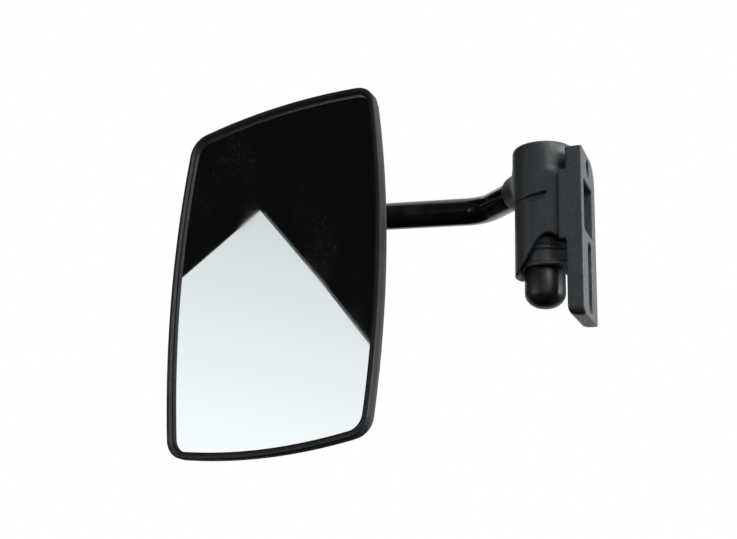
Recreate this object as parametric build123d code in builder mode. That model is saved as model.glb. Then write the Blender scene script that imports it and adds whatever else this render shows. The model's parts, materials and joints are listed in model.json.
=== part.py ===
"""Exterior mirror on a folding arm: cast base bracket, sprung pivot, bent tube, ball joint and mirror head.

Millimetres. The origin is the middle of the mounting face, which looks along +X; +Z is up along the
fold pivot, and the reflecting side looks roughly along -Y.
"""
from build123d import *
import math
import os

# ---- clearances -------------------------------------------------------------------------------
running_gap = 0.05      # radial, a turning shaft in its bore
press_gap = 0.02        # radial, a shaft or pin driven home
slip_gap = 0.15         # radial, a screw or loose washer
sphere_gap = 0.3        # radial, between two spherical faces
swing_gap = 0.5         # between cast faces that sweep past each other

# ---- base bracket -----------------------------------------------------------------------------
plate_height = 97.6
plate_depth = 42.0
plate_thick = 9.5
front_top_corner = 1.5  # the plate's corners, seen along X: front is towards -Y
front_low_corner = 5.0
rear_top_corner = 14.0
rear_low_corner = 2.0
plate_low_round = 3.2   # along the lower edge that looks away from the mounting face
pivot_offset = 26.0     # mounting face to fold pivot
saddle_reach = 12.2     # fold pivot to the saddle's front edge
saddle_low = -6.0
saddle_high = 35.0
bolt_radius = 5.0
bolt_y = -0.8
bolt_z = 40.9
slot_width = 13.0
slot_y = -0.3
slot_low = -45.0
slot_high = -3.8
window_depth = 28.0
window_y = -2.3
window_low = 0.5
window_high = 30.7
window_corner = 2.5
lug_radius = 13.6
lug_low = -18.2
lug_high = -4.0
lug_groove = 0.7        # depth of the round groove between the lug's two flanges
top_flange = 3.0
top_flange_half = 9.6
web_half = 8.9
low_flange = 2.4
low_flange_half = 12.5
gusset_reach = 4.5
gusset_drop = 10.8
gusset_thick = 3.0
cast_round = 1.2

# ---- hub --------------------------------------------------------------------------------------
hub_radius = 18.3
hub_high = 55.6
hub_step = 23.0
step_lean = 10.0        # the step drops away from the mounting face by this many degrees
step_overlap = 6.0
hub_top_round = 3.2
skirt_radius = 17.1
skirt_wall = 2.9
skirt_low = -22.5
cavity_high = 20.0
flank_radius = 22.0
flank_front = 17.9
arch_toe = -14.0        # the skirt's arched cut-out, as (X from the pivot, Z) corners
arch_heel = (-9.4, -17.6)
arch_shoulder = (1.8, -1.6)
arch_crown = (6.5, -0.4)
arch_rest = (12.0, -3.4)
arch_round = 2.4
notch_across = -1.6
notch_width = 12.5
notch_drop = 3.4
notch_cut = 1.3
boss_height = 36.8
boss_azimuth = 136.7
boss_reach = 30.0
boss_root_radius = 13.7
boss_tip_radius = 10.9

# ---- fold pivot hardware ----------------------------------------------------------------------
stud_radius = 5.0
stud_low = -31.0
stud_high = 31.0
stud_end_gap = 0.5
stud_chamfer = 0.8
bush_wall = 2.0
bush_flange = 11.4
bush_flange_thick = 1.5
seat_thick = 1.5
seat_radius = 11.6
seat_round = 0.4
spring_pocket_radius = 11.9  # the round pocket in the lug's top for the flange and seat
spring_wire = 1.5
spring_radius = 9.9
spring_turns = 4.5
friction_radius = 8.3
friction_thick = 1.5
nut_flats = 16.0
nut_thick = 8.0
nut_collar = 2.0        # height of the nut's round collar
nut_collar_inset = 0.4
spigot_radius = 9.9
spigot_wall = 1.2
spigot_height = 3.0
cap_radius = 11.7
cap_low = -40.7
cap_wall = 1.5
cap_round = 7.5

# ---- arm --------------------------------------------------------------------------------------
tube_radius = 9.0
tube_wall = 2.0
tube_start = 9.0        # from the pivot, inside the boss
tube_end_gap = 1.0
bend_reach = 68.5       # pivot to the corner of the bend
bend_radius = 25.0
arm_azimuth = 185.8
arm_reach = 114.3       # corner of the bend to the ball's centre
boss_pin_radius = 2.5
boss_pin_reach = 24.5

# ---- ball joint -------------------------------------------------------------------------------
ball_radius = 13.0
neck_radius = 5.5
collar_from_ball = 28.0
collar_thick = 3.0
shank_length = 26.0
shank_pin_radius = 2.0
seat_wall = 2.0
neck_cone = 27.0        # half angle of the way out of the ball seat
socket_cone = 36.0      # half angle of the way out of the socket
socket_side = 52.0
socket_corner = 10.0
socket_split = 0.4
socket_flange = 8.0
socket_dome_wall = 3.8
screw_radius = 2.5
screw_pitch = 38.0
screw_head_radius = 4.4
screw_head_thick = 3.6
screw_tip_depth = 12.0
screw_socket_depth = 2.2
lock_washer_thick = 1.2
cap_edge = 1.2          # chamfer round the socket cap
gasket_thick = 1.0

# ---- head -------------------------------------------------------------------------------------
head_half_width = 80.4
head_half_height = 118.7
side_bulge = 8.2
end_bulge = 6.2
head_taper = 0.8        # half width gained at the top, lost at the bottom
head_corner = 15.2
head_turn = -8.85
head_tilt = -6.45
head_roll = 5.07
ball_across = 5.0       # the ball's centre from the head's centre
ball_above = 51.0
ball_depth = 45.0
rim_width = 4.7
rim_depth = 8.5
rim_side = 1.8
rim_back_lean = 1.7     # the rim's rear bevel, inwards
rim_back_bevel = 2.8    # and along the depth
lip_flat = 2.3
lip_slope = 1.3
glass_depth = 3.3
glass_thick = 3.0
glass_gap = 0.3
glass_chamfer = 0.4
shell_inset = 1.7
shell_wall = 2.5
shell_depth = 25.0
shell_slope = 18.2      # how far the sides lean in by the full depth
shell_round = 6.0
dome_radius = 600.0
pad_side = 58.0
pad_depth = 26.0
pad_thick = 6.0
pad_root_depth = 15.0
nut_plate_side = 50.0
nut_plate_corner = 6.5
nut_plate_thick = 3.0
weld_nut_flats = 8.0
weld_nut_thick = 4.0
backing_thick = 2.0
rib_thick = 1.8
rib_across = 20.0
rib_rows = (-60.0, -30.0, 0.0)
rib_end = 14.0
rib_overhang = 7.0
foam_side = 34.0
foam_across = 46.0
foam_above = 72.0
foam_corner = 3.0

os.makedirs("parts", exist_ok=True)


def keep(piece, label):
    """Label a finished piece and write it as its own STEP file."""
    piece.part.label = label
    export_step(piece.part, f"parts/{label}.step")


def heading(azimuth):
    """The level unit vector at an azimuth in degrees from +X."""
    return Vector(math.cos(math.radians(azimuth)), math.sin(math.radians(azimuth)), 0)


def upright(height):
    """A level plane on the fold pivot at a height."""
    return Plane.XY.offset(height).move(Location((-pivot_offset, 0, 0)))


pivot = Vector(-pivot_offset, 0, 0)
boss_way = heading(boss_azimuth)
arm_way = heading(arm_azimuth)
boss_root = pivot + Vector(0, 0, boss_height)
bend_corner = boss_root + boss_way * bend_reach
ball_centre = bend_corner + arm_way * arm_reach
boss_plane = Plane(origin=boss_root, x_dir=(0, 0, 1), z_dir=boss_way)
arm_plane = Plane(origin=ball_centre, x_dir=(0, 0, 1), z_dir=arm_way * -1)

# the head's own frame: x to its right, y up it, z out of the reflecting face
head_right = Vector(1, 0, 0).rotate(Axis.Z, head_turn)
head_out = Vector(0, -1, 0).rotate(Axis.Z, head_turn).rotate(Axis((0, 0, 0), head_right), head_tilt)
head_right = head_right.rotate(Axis((0, 0, 0), head_out), head_roll)
facing = Plane(origin=(0, 0, 0), x_dir=head_right, z_dir=head_out)
head_centre = (
    ball_centre
    - facing.x_dir * ball_across
    - facing.y_dir * ball_above
    + facing.z_dir * ball_depth
)
head_front = Plane(origin=head_centre, x_dir=facing.x_dir, z_dir=facing.z_dir)


def behind(depth):
    """The plane parallel to the reflecting face at a depth behind the rim's front."""
    return head_front.offset(-depth)


def head_outline(inset, corner):
    """The head's convex-sided outline, drawn in from its edge by an inset, as a face."""
    half_w = head_half_width - inset
    half_h = head_half_height - inset
    top_w = half_w - side_bulge + head_taper
    low_w = half_w - side_bulge - head_taper
    corner_h = half_h - end_bulge
    with BuildSketch(mode=Mode.PRIVATE) as outline:
        with BuildLine():
            ThreePointArc((low_w, -corner_h), (half_w, 0), (top_w, corner_h))
            ThreePointArc((top_w, corner_h), (0, half_h), (-top_w, corner_h))
            ThreePointArc((-top_w, corner_h), (-half_w, 0), (-low_w, -corner_h))
            ThreePointArc((-low_w, -corner_h), (0, -half_h), (low_w, -corner_h))
        make_face()
        fillet(outline.vertices(), corner)
    return outline.sketch


def square_at_ball(side, corner):
    """A rounded square about the ball joint's axis, in the head's frame."""
    with BuildSketch(mode=Mode.PRIVATE) as square:
        with Locations((ball_across, ball_above)):
            RectangleRounded(side, side, corner)
    return square.sketch


# ================================================================================ base bracket
bush_radius = stud_radius + running_gap + bush_wall
pocket_floor = lug_high - bush_flange_thick - seat_thick
with BuildPart() as base_bracket:
    with BuildSketch(Plane.YZ) as plate_outline:
        Rectangle(plate_depth, plate_height)
        front_corners = plate_outline.vertices().group_by(Axis.X)[0].sort_by(Axis.Y)
        rear_corners = plate_outline.vertices().group_by(Axis.X)[-1].sort_by(Axis.Y)
        fillet(front_corners[0], front_low_corner)
        fillet(front_corners[-1], front_top_corner)
        fillet(rear_corners[0], rear_low_corner)
        fillet(rear_corners[-1], rear_top_corner)
    extrude(amount=-plate_thick)
    fillet(
        base_bracket.faces().sort_by(Axis.X)[0].edges().filter_by(Axis.Y).sort_by(Axis.Z)[0],
        plate_low_round,
    )
    with BuildSketch(Plane.YZ.offset(-plate_thick)):
        with Locations((0, (saddle_low + saddle_high) / 2)):
            Rectangle(plate_depth, saddle_high - saddle_low)
    extrude(amount=-(pivot_offset - plate_thick - saddle_reach))
    fillet(base_bracket.faces().sort_by(Axis.X)[0].edges().filter_by(Axis.Z), cast_round)
    # the round seat that the hub's flank sweeps past
    with BuildSketch(upright(saddle_low)):
        Circle(flank_radius + swing_gap)
    extrude(amount=hub_high - saddle_low, mode=Mode.SUBTRACT)
    # the lug that carries the pivot: a grooved round boss on a neck of I section
    for low, high, radius, half_width in (
        (lug_low, lug_high, lug_radius - lug_groove, web_half),
        (lug_high - top_flange, lug_high, lug_radius, top_flange_half),
        (lug_low, lug_low + low_flange, lug_radius, low_flange_half),
    ):
        with BuildSketch(upright(low)):
            Circle(radius)
            Rectangle(pivot_offset, 2 * half_width, align=(Align.MIN, Align.CENTER))
        extrude(amount=high - low)
    # gussets under the lug
    for side in (-1, 1):
        gusset_middle = side * (low_flange_half - gusset_thick / 2)
        with BuildSketch(Plane.XZ.offset(-gusset_middle)):
            Polygon(
                (-plate_thick, lug_low),
                (-plate_thick - gusset_reach, lug_low),
                (-plate_thick, lug_low - gusset_drop),
                align=None,
            )
        extrude(amount=gusset_thick / 2, both=True)
    # spigot for the cap
    with BuildSketch(upright(lug_low)):
        Circle(spigot_radius)
        Circle(spigot_radius - spigot_wall, mode=Mode.SUBTRACT)
    extrude(amount=-spigot_height)
    # bore for the pivot bush, and the pocket above it
    with BuildSketch(upright(lug_low)):
        Circle(bush_radius + press_gap)
    extrude(amount=pocket_floor - lug_low, mode=Mode.SUBTRACT)
    with BuildSketch(upright(pocket_floor)):
        Circle(spring_pocket_radius)
    extrude(amount=lug_high - pocket_floor, mode=Mode.SUBTRACT)
    # bolt hole, window and adjusting slot in the mounting face
    with BuildSketch(Plane.YZ) as face_cuts:
        with Locations((bolt_y, bolt_z)):
            Circle(bolt_radius)
        with Locations((slot_y, (slot_low + slot_high) / 2)):
            SlotOverall(slot_high - slot_low, slot_width, rotation=90)
        with Locations((window_y, (window_low + window_high) / 2)):
            RectangleRounded(window_depth, window_high - window_low, window_corner)
    extrude(amount=-plate_thick, mode=Mode.SUBTRACT)
keep(base_bracket, "base_bracket")

# ================================================================================ fold pivot
with BuildPart() as pivot_bush:
    with BuildSketch(upright(lug_low)):
        Circle(bush_radius)
    extrude(amount=pocket_floor - lug_low)
    with BuildSketch(upright(pocket_floor)):
        Circle(bush_flange)
    extrude(amount=bush_flange_thick)
    with BuildSketch(upright(lug_low)):
        Circle(stud_radius + running_gap)
    extrude(amount=lug_high - lug_low, mode=Mode.SUBTRACT)
keep(pivot_bush, "pivot_bush")

lower_seat_low = lug_high - seat_thick
spring_low = lower_seat_low + seat_thick
spring_high = cavity_high - seat_thick
for label, seat_z in (("lower_spring_seat", lower_seat_low), ("upper_spring_seat", spring_high)):
    with BuildPart() as spring_seat:
        with BuildSketch(upright(seat_z)):
            Circle(seat_radius)
            Circle(stud_radius + slip_gap, mode=Mode.SUBTRACT)
        extrude(amount=seat_thick)
        fillet(spring_seat.edges().filter_by(GeomType.CIRCLE).sort_by(SortBy.RADIUS)[-2:], seat_round)
    keep(spring_seat, label)

coil_rise = spring_high - spring_low - 2 * spring_wire
with BuildPart() as pivot_spring:
    with BuildLine(upright(spring_low + spring_wire)) as coil:
        Helix(pitch=coil_rise / spring_turns, height=coil_rise, radius=spring_radius)
    with BuildSketch(Plane(origin=coil.line @ 0, z_dir=coil.line % 0)):
        Circle(spring_wire)
    sweep(path=coil.line, is_frenet=True)
keep(pivot_spring, "pivot_spring")

with BuildPart() as pivot_stud:
    with BuildSketch(upright(stud_low)):
        Circle(stud_radius)
    extrude(amount=stud_high - stud_low)
    chamfer(pivot_stud.edges().filter_by(GeomType.CIRCLE), stud_chamfer)
keep(pivot_stud, "pivot_stud")

with BuildPart() as friction_washer:
    with BuildSketch(upright(lug_low)):
        Circle(friction_radius)
        Circle(stud_radius + slip_gap, mode=Mode.SUBTRACT)
    extrude(amount=-friction_thick)
keep(friction_washer, "friction_washer")

nut_high = lug_low - friction_thick
nut_low = nut_high - nut_thick
with BuildPart() as lock_nut:
    with BuildSketch(upright(nut_low)):
        RegularPolygon(nut_flats / 2, 6, major_radius=False)
    extrude(amount=nut_thick - nut_collar)
    with BuildSketch(upright(nut_high - nut_collar)):
        Circle(nut_flats / 2 - nut_collar_inset)
    extrude(amount=nut_collar)
    with BuildSketch(upright(nut_low)):
        Circle(stud_radius + press_gap)
    extrude(amount=nut_thick, mode=Mode.SUBTRACT)
keep(lock_nut, "lock_nut")

with BuildPart() as dome_cap:
    with BuildSketch(upright(cap_low)):
        Circle(cap_radius)
    extrude(amount=lug_low - cap_low)
    fillet(dome_cap.faces().sort_by(Axis.Z)[0].edges(), cap_round)
    offset(amount=-cap_wall, openings=dome_cap.faces().sort_by(Axis.Z)[-1])
keep(dome_cap, "dome_cap")

# ================================================================================ hub
step_plane = Plane(origin=pivot + Vector(0, 0, hub_step), z_dir=Vector(0, 0, 1).rotate(Axis.Y, -step_lean))
with BuildPart() as hub_housing:
    with BuildSketch(upright(hub_step - step_overlap)):
        Circle(hub_radius)
    extrude(amount=hub_high - hub_step + step_overlap)
    split(bisect_by=step_plane, keep=Keep.TOP)
    fillet(hub_housing.faces().sort_by(Axis.Z)[-1].edges(), hub_top_round)
    with BuildSketch(upright(skirt_low)):
        Circle(skirt_radius)
    extrude(amount=hub_step + step_overlap - skirt_low)
    # the flank: a flat-sided sector that closes against the saddle
    with BuildSketch(upright(saddle_low)) as flank:
        Rectangle(flank_radius, 2 * flank_front, align=(Align.MIN, Align.CENTER))
        Circle(flank_radius, mode=Mode.INTERSECT)
    extrude(amount=saddle_high - swing_gap - saddle_low)
    # boss for the tube
    with BuildSketch(boss_plane):
        Circle(boss_root_radius)
    with BuildSketch(boss_plane.offset(boss_reach)):
        Circle(boss_tip_radius)
    loft()
    # spring cavity, stud bore and boss bore
    with BuildSketch(upright(skirt_low)):
        Circle(skirt_radius - skirt_wall)
    extrude(amount=cavity_high - skirt_low, mode=Mode.SUBTRACT)
    with BuildSketch(upright(cavity_high)):
        Circle(stud_radius + press_gap)
    extrude(amount=stud_high + stud_end_gap - cavity_high, mode=Mode.SUBTRACT)
    with BuildSketch(boss_plane.offset(tube_start - tube_end_gap)):
        Circle(tube_radius + press_gap)
    extrude(amount=boss_reach - tube_start + tube_end_gap, mode=Mode.SUBTRACT)
    # arched cut-out that lets the lug in and gives the hub its swing
    with BuildSketch(Plane.XZ.move(Location((-pivot_offset, 0, 0)))) as arch:
        with BuildLine():
            Polyline(
                (arch_toe, skirt_low - swing_gap),
                arch_heel,
                arch_shoulder,
                arch_crown,
                arch_rest,
                (flank_radius + swing_gap, arch_rest[1]),
                (flank_radius + swing_gap, skirt_low - swing_gap),
                close=True,
            )
        make_face()
        fillet(arch.vertices().sort_by(Axis.Y)[-2:], arch_round)
    extrude(amount=flank_radius + swing_gap, both=True, mode=Mode.SUBTRACT)
    # crescent notch under the step
    notch_radius = ((notch_width / 2) ** 2 + notch_drop**2) / (2 * notch_drop)
    with BuildSketch(
        Plane.XZ.offset(skirt_radius - notch_cut).move(Location((-pivot_offset, 0, 0)))
    ):
        with Locations((notch_across, hub_step - notch_drop + notch_radius)):
            Circle(notch_radius)
        with Locations((notch_across, hub_step)):
            Rectangle(
                2 * notch_width,
                2 * notch_radius,
                align=(Align.CENTER, Align.MIN),
                mode=Mode.SUBTRACT,
            )
    extrude(amount=2 * notch_cut, mode=Mode.SUBTRACT)
    # hole for the pin that holds the tube
    with BuildSketch(upright(boss_height)):
        with Locations(boss_way * boss_pin_reach):
            Circle(boss_pin_radius)
    extrude(amount=boss_root_radius + swing_gap, mode=Mode.SUBTRACT)
keep(hub_housing, "hub_housing")

# ================================================================================ arm
tube_end = collar_from_ball + collar_thick
shank_pin_plane = Plane(origin=ball_centre - arm_way * (tube_end + shank_length / 2))
with BuildPart() as arm_tube:
    with BuildLine() as tube_path:
        FilletPolyline(
            boss_root + boss_way * tube_start,
            bend_corner,
            ball_centre - arm_way * tube_end,
            radius=bend_radius,
        )
    with BuildSketch(boss_plane.offset(tube_start)):
        Circle(tube_radius)
        Circle(tube_radius - tube_wall, mode=Mode.SUBTRACT)
    sweep(path=tube_path.line)
    with BuildSketch(upright(boss_height)):
        with Locations(boss_way * boss_pin_reach):
            Circle(boss_pin_radius)
    extrude(amount=tube_radius + swing_gap, both=True, mode=Mode.SUBTRACT)
    with BuildSketch(shank_pin_plane):
        Circle(shank_pin_radius)
    extrude(amount=tube_radius + swing_gap, both=True, mode=Mode.SUBTRACT)
keep(arm_tube, "arm_tube")

boss_pin_drop = math.sqrt(tube_radius**2 - boss_pin_radius**2)
with BuildPart() as boss_pin:
    with BuildSketch(upright(boss_height - boss_pin_drop)):
        with Locations(boss_way * boss_pin_reach):
            Circle(boss_pin_radius - press_gap)
            Circle(boss_pin_radius / 2, mode=Mode.SUBTRACT)
    extrude(amount=boss_pin_drop + boss_tip_radius)
keep(boss_pin, "boss_pin")

with BuildPart() as ball_stud:
    with BuildSketch(arm_plane):
        Circle(neck_radius)
    extrude(amount=collar_from_ball)
    with BuildSketch(arm_plane.offset(collar_from_ball)):
        Circle(tube_radius)
    extrude(amount=collar_thick)
    with BuildSketch(arm_plane.offset(tube_end)):
        Circle(tube_radius - tube_wall - press_gap)
    extrude(amount=shank_length)
    with BuildSketch(Plane(origin=ball_centre, x_dir=arm_plane.z_dir, z_dir=(0, 0, 1))):
        with BuildLine():
            CenterArc((0, 0), ball_radius, 0, 180)
            Line((-ball_radius, 0), (ball_radius, 0))
        make_face()
    revolve(axis=Axis(ball_centre, arm_plane.z_dir))
    with BuildSketch(shank_pin_plane):
        Circle(shank_pin_radius)
    extrude(amount=tube_radius, both=True, mode=Mode.SUBTRACT)
keep(ball_stud, "ball_stud")

with BuildPart() as shank_pin:
    with BuildSketch(shank_pin_plane.offset(-tube_radius)):
        Circle(shank_pin_radius - press_gap)
    extrude(amount=2 * tube_radius)
keep(shank_pin, "shank_pin")

# ================================================================================ ball seat
seat_inner = ball_radius + sphere_gap
seat_outer = seat_inner + seat_wall
socket_cavity = seat_outer + sphere_gap
level_plane = Plane(origin=ball_centre, x_dir=arm_plane.z_dir, z_dir=(0, 0, 1))
for label, side in (("ball_seat_front", -1), ("ball_seat_back", 1)):
    with BuildPart() as ball_seat:
        with BuildSketch(level_plane):
            with BuildLine():
                outer_arc = CenterArc((0, 0), seat_outer, neck_cone, 180 - neck_cone)
                inner_arc = CenterArc((0, 0), seat_inner, neck_cone, 180 - neck_cone)
                Line(outer_arc @ 0, inner_arc @ 0)
                Line(outer_arc @ 1, inner_arc @ 1)
            make_face()
        revolve(axis=Axis(ball_centre, arm_plane.z_dir))
        split(
            bisect_by=Plane(
                origin=ball_centre + level_plane.y_dir * side * socket_split,
                x_dir=(0, 0, 1),
                z_dir=level_plane.y_dir * side,
            )
        )
    keep(ball_seat, label)

# ================================================================================ socket
half_pitch = screw_pitch / 2
screw_spots = [
    (ball_across + i * half_pitch, ball_above + j * half_pitch) for i in (-1, 1) for j in (-1, 1)
]
base_front = pad_depth + gasket_thick
cap_front = ball_depth + socket_split
cap_flange_back = cap_front + socket_flange


def socket_way_out():
    """The cone-shaped way out of the socket, about the arm, with its point at the ball's centre."""
    length = socket_side
    with BuildPart(mode=Mode.PRIVATE) as cone:
        with BuildSketch(level_plane):
            Polygon(
                (0, 0),
                (length, 0),
                (length, length * math.tan(math.radians(socket_cone))),
                align=None,
            )
        revolve(axis=Axis(ball_centre, arm_plane.z_dir))
    return cone.part


def screw_holes(depth, length, radius):
    """Four rods at the clamp screws, from a depth backwards."""
    with BuildPart(mode=Mode.PRIVATE) as rods:
        with BuildSketch(behind(depth)):
            with Locations(*screw_spots):
                Circle(radius)
        extrude(amount=-length)
    return rods.part


with BuildPart() as socket_base:
    with BuildSketch(behind(base_front)):
        add(square_at_ball(socket_side, socket_corner))
    extrude(amount=-(ball_depth - socket_split - base_front))
    with Locations(Location(ball_centre)):
        Sphere(socket_cavity, mode=Mode.SUBTRACT)
    add(socket_way_out(), mode=Mode.SUBTRACT)
    add(screw_holes(base_front, socket_side, screw_radius + slip_gap), mode=Mode.SUBTRACT)
keep(socket_base, "socket_base")

with BuildPart() as socket_cap:
    with BuildSketch(behind(cap_front)):
        add(square_at_ball(socket_side, socket_corner))
    extrude(amount=-socket_flange)
    chamfer(socket_cap.faces().sort_by(Axis(head_centre, head_front.z_dir))[0].edges(), cap_edge)
    with Locations(Location(ball_centre)):
        Sphere(socket_cavity + socket_dome_wall)
    split(bisect_by=behind(cap_front), keep=Keep.BOTTOM)
    with Locations(Location(ball_centre)):
        Sphere(socket_cavity, mode=Mode.SUBTRACT)
    add(socket_way_out(), mode=Mode.SUBTRACT)
    add(screw_holes(cap_front, socket_side, screw_radius + slip_gap), mode=Mode.SUBTRACT)
keep(socket_cap, "socket_cap")

with BuildPart() as clamp_screws:
    with BuildSketch(behind(screw_tip_depth)):
        with Locations(*screw_spots):
            Circle(screw_radius)
    extrude(amount=-(cap_flange_back + lock_washer_thick - screw_tip_depth))
    with BuildSketch(behind(cap_flange_back + lock_washer_thick)):
        with Locations(*screw_spots):
            Circle(screw_head_radius)
    extrude(amount=-screw_head_thick)
    with BuildSketch(behind(cap_flange_back + lock_washer_thick + screw_head_thick)):
        with Locations(*screw_spots):
            RegularPolygon(screw_radius, 6)
    extrude(amount=screw_socket_depth, mode=Mode.SUBTRACT)
keep(clamp_screws, "clamp_screws")

with BuildPart() as lock_washers:
    with BuildSketch(behind(cap_flange_back)):
        with Locations(*screw_spots):
            Circle(screw_head_radius)
            Circle(screw_radius + slip_gap, mode=Mode.SUBTRACT)
    extrude(amount=-lock_washer_thick)
keep(lock_washers, "lock_washers")

with BuildPart() as socket_gasket:
    with BuildSketch(behind(pad_depth)):
        add(square_at_ball(socket_side, socket_corner))
        with Locations(*screw_spots):
            Circle(screw_radius + slip_gap, mode=Mode.SUBTRACT)
    extrude(amount=-gasket_thick)
keep(socket_gasket, "socket_gasket")

# ================================================================================ head
glass_back = glass_depth + glass_thick
backing_back = glass_back + backing_thick
tongue_inset = rim_side + press_gap
hollow_inset = tongue_inset + shell_wall
dome_centre = head_centre + head_front.z_dir * (dome_radius - shell_depth)
outward = Axis(head_centre, head_front.z_dir)


def shell_body(wall):
    """The back shell's closed outer form, or its hollow when a wall is taken off."""
    with BuildPart(mode=Mode.PRIVATE) as body:
        with BuildSketch(behind(rim_depth)):
            add(head_outline(shell_inset + wall, head_corner - wall))
        with BuildSketch(behind(rim_depth + shell_depth)):
            add(head_outline(shell_inset + wall + shell_slope, head_corner - wall))
        loft(ruled=True)
        with Locations(Location(dome_centre)):
            Sphere(dome_radius - wall, mode=Mode.INTERSECT)
        fillet(body.faces().sort_by(outward)[0].edges(), shell_round - wall)
    return body.part


def ribs():
    """Stiffening ribs from the hollow's floor to just behind the backing plate."""
    rib_low = rib_rows[0] - rib_end
    with BuildPart(mode=Mode.PRIVATE) as grid:
        with BuildSketch(behind(backing_back + glass_gap)):
            for across in (-rib_across, rib_across):
                with Locations((across, (rib_low + rib_end) / 2)):
                    Rectangle(rib_thick, rib_end - rib_low)
            for row in rib_rows:
                with Locations((0, row)):
                    Rectangle(2 * (rib_across + rib_overhang), rib_thick)
        extrude(amount=-shell_depth)
        add(hollow, mode=Mode.INTERSECT)
    return grid.part


hollow = shell_body(shell_wall)
with BuildPart() as back_shell:
    add(shell_body(0))
    add(hollow, mode=Mode.SUBTRACT)
    # tongue that the rim is stretched over
    with BuildSketch(behind(rim_depth + shell_wall)):
        add(head_outline(tongue_inset, head_corner - tongue_inset))
        add(head_outline(hollow_inset, head_corner - hollow_inset), mode=Mode.SUBTRACT)
    extrude(amount=rim_depth + shell_wall - glass_back)
    # flat pad for the socket, with a pocket for the nut plate
    with BuildSketch(behind(pad_depth)):
        add(square_at_ball(pad_side, socket_corner))
    extrude(amount=pad_depth - pad_root_depth)
    with BuildSketch(behind(pad_depth - pad_thick)):
        add(square_at_ball(pad_side - 2 * shell_wall, socket_corner - shell_wall))
    extrude(amount=pad_depth - pad_thick - rim_depth, mode=Mode.SUBTRACT)
    add(ribs())
    add(screw_holes(pad_root_depth, pad_side, screw_radius + slip_gap), mode=Mode.SUBTRACT)
keep(back_shell, "back_shell")

with BuildPart() as rim_gasket:
    with BuildSketch(head_front):
        add(head_outline(0, head_corner))
    extrude(amount=-(rim_depth - rim_back_bevel))
    with BuildSketch(behind(rim_depth - rim_back_bevel)):
        add(head_outline(0, head_corner))
    with BuildSketch(behind(rim_depth)):
        add(head_outline(rim_back_lean, head_corner))
    loft(ruled=True)
    fillet(rim_gasket.faces().sort_by(outward)[-1].edges(), cast_round)
    # the hollow that holds the glass and grips the shell's tongue
    with BuildSketch(behind(glass_depth)):
        add(head_outline(rim_side, head_corner - rim_side))
    extrude(amount=-rim_depth, mode=Mode.SUBTRACT)
    # the sight opening with its sloping lip
    with BuildSketch(head_front):
        add(head_outline(lip_flat, head_corner - lip_flat))
    with BuildSketch(behind(lip_slope)):
        add(head_outline(lip_flat + lip_slope, head_corner - lip_flat - lip_slope))
    loft(ruled=True, mode=Mode.SUBTRACT)
    with BuildSketch(head_front):
        add(head_outline(rim_width, head_corner - rim_width))
    extrude(amount=-rim_depth, mode=Mode.SUBTRACT)
keep(rim_gasket, "rim_gasket")

glass_edge = rim_side + glass_gap
with BuildPart() as mirror_glass:
    with BuildSketch(behind(glass_depth)):
        add(head_outline(glass_edge, head_corner - glass_edge))
    extrude(amount=-glass_thick)
    chamfer(mirror_glass.faces().sort_by(outward)[-1].edges(), glass_chamfer)
keep(mirror_glass, "mirror_glass")

backing_edge = hollow_inset + glass_gap
with BuildPart() as glass_backing:
    with BuildSketch(behind(glass_back)):
        add(head_outline(backing_edge, head_corner - backing_edge))
    extrude(amount=-backing_thick)
keep(glass_backing, "glass_backing")

with BuildPart() as foam_pads:
    with BuildSketch(behind(backing_back)):
        with Locations((foam_across, -foam_above), (-foam_across, -foam_above)):
            RectangleRounded(foam_side, foam_side, foam_corner)
        with Locations((foam_across, foam_above), (-foam_across, foam_above)):
            RectangleRounded(foam_side / 2, foam_side, foam_corner)
    extrude(amount=-shell_depth)
    add(hollow, mode=Mode.INTERSECT)
keep(foam_pads, "foam_pads")

plate_back = pad_depth - pad_thick
plate_front = plate_back - nut_plate_thick
with BuildPart() as nut_plate:
    with BuildSketch(behind(plate_front)):
        add(square_at_ball(nut_plate_side, nut_plate_corner))
        with Locations(*screw_spots):
            Circle(screw_radius + slip_gap, mode=Mode.SUBTRACT)
    extrude(amount=-nut_plate_thick)
keep(nut_plate, "nut_plate")

with BuildPart() as weld_nuts:
    with BuildSketch(behind(plate_front)):
        with Locations(*screw_spots):
            RegularPolygon(weld_nut_flats / 2, 6, major_radius=False)
            Circle(screw_radius + press_gap, mode=Mode.SUBTRACT)
    extrude(amount=weld_nut_thick)
keep(weld_nuts, "weld_nuts")
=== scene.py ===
"""Exterior mirror on a folding arm: cast bracket and hub, gloss tube, ball joint, rubber-rimmed head.

Metres. The origin is the middle of the bracket's mounting face, which looks along +X; +Z is up along the
fold pivot, and the glass looks roughly along -Y.
"""

import json
import math

import bpy
import numpy as np
from mathutils import Matrix, Vector


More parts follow.
